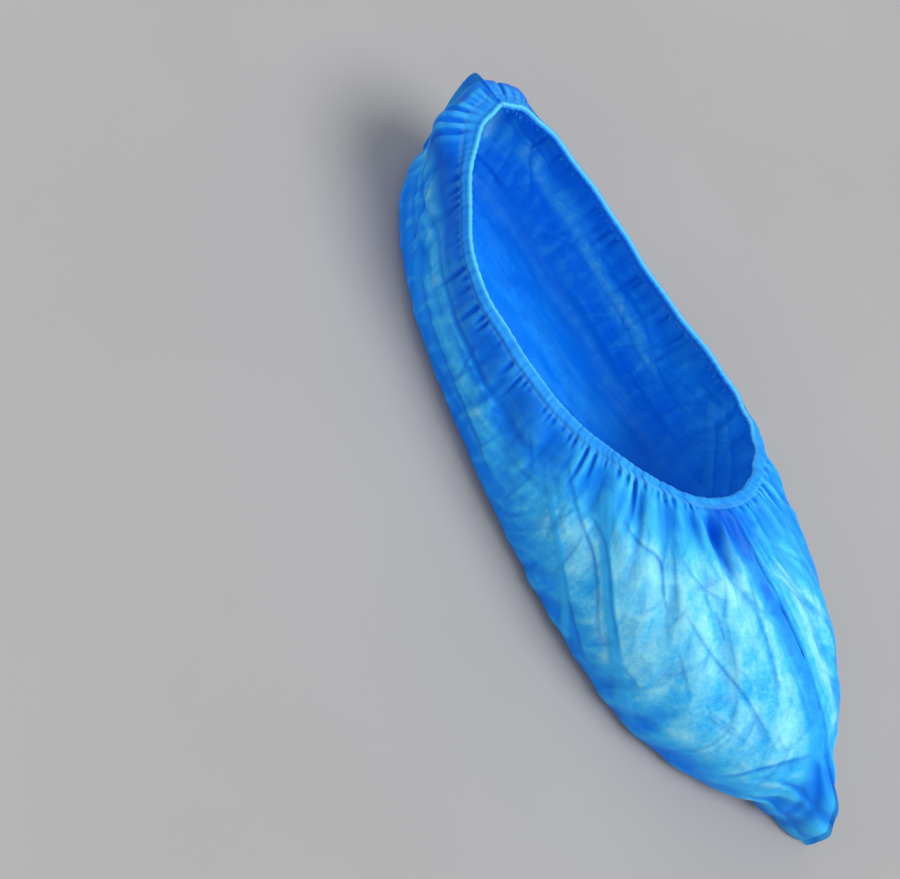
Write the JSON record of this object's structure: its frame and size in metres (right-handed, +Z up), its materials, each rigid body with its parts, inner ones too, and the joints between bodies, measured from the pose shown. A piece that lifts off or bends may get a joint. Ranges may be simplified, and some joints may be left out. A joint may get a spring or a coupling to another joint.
{
  "type": "disposable shoe cover",
  "caption": "Thin film overshoe in its worn form: a hollow bag round a shoe's sole and sides, gathered into an elastic hem round the opening, with welded toe and heel seams.",
  "frame": {"origin": "on the floor, under the middle of the cover's box", "axes": "+Z up, toe towards -Y, heel towards +Y, +X to the left of the wearer"},
  "size_m": [0.0947, 0.3254, 0.0736],
  "materials": {
    "film": "thin embossed film, satin",
    "elastic": "covered elastic thread, matte"
  },
  "bodies": {
    "root": {"film_cover": "film", "elastic": "elastic"}
  },
  "joints": []
}
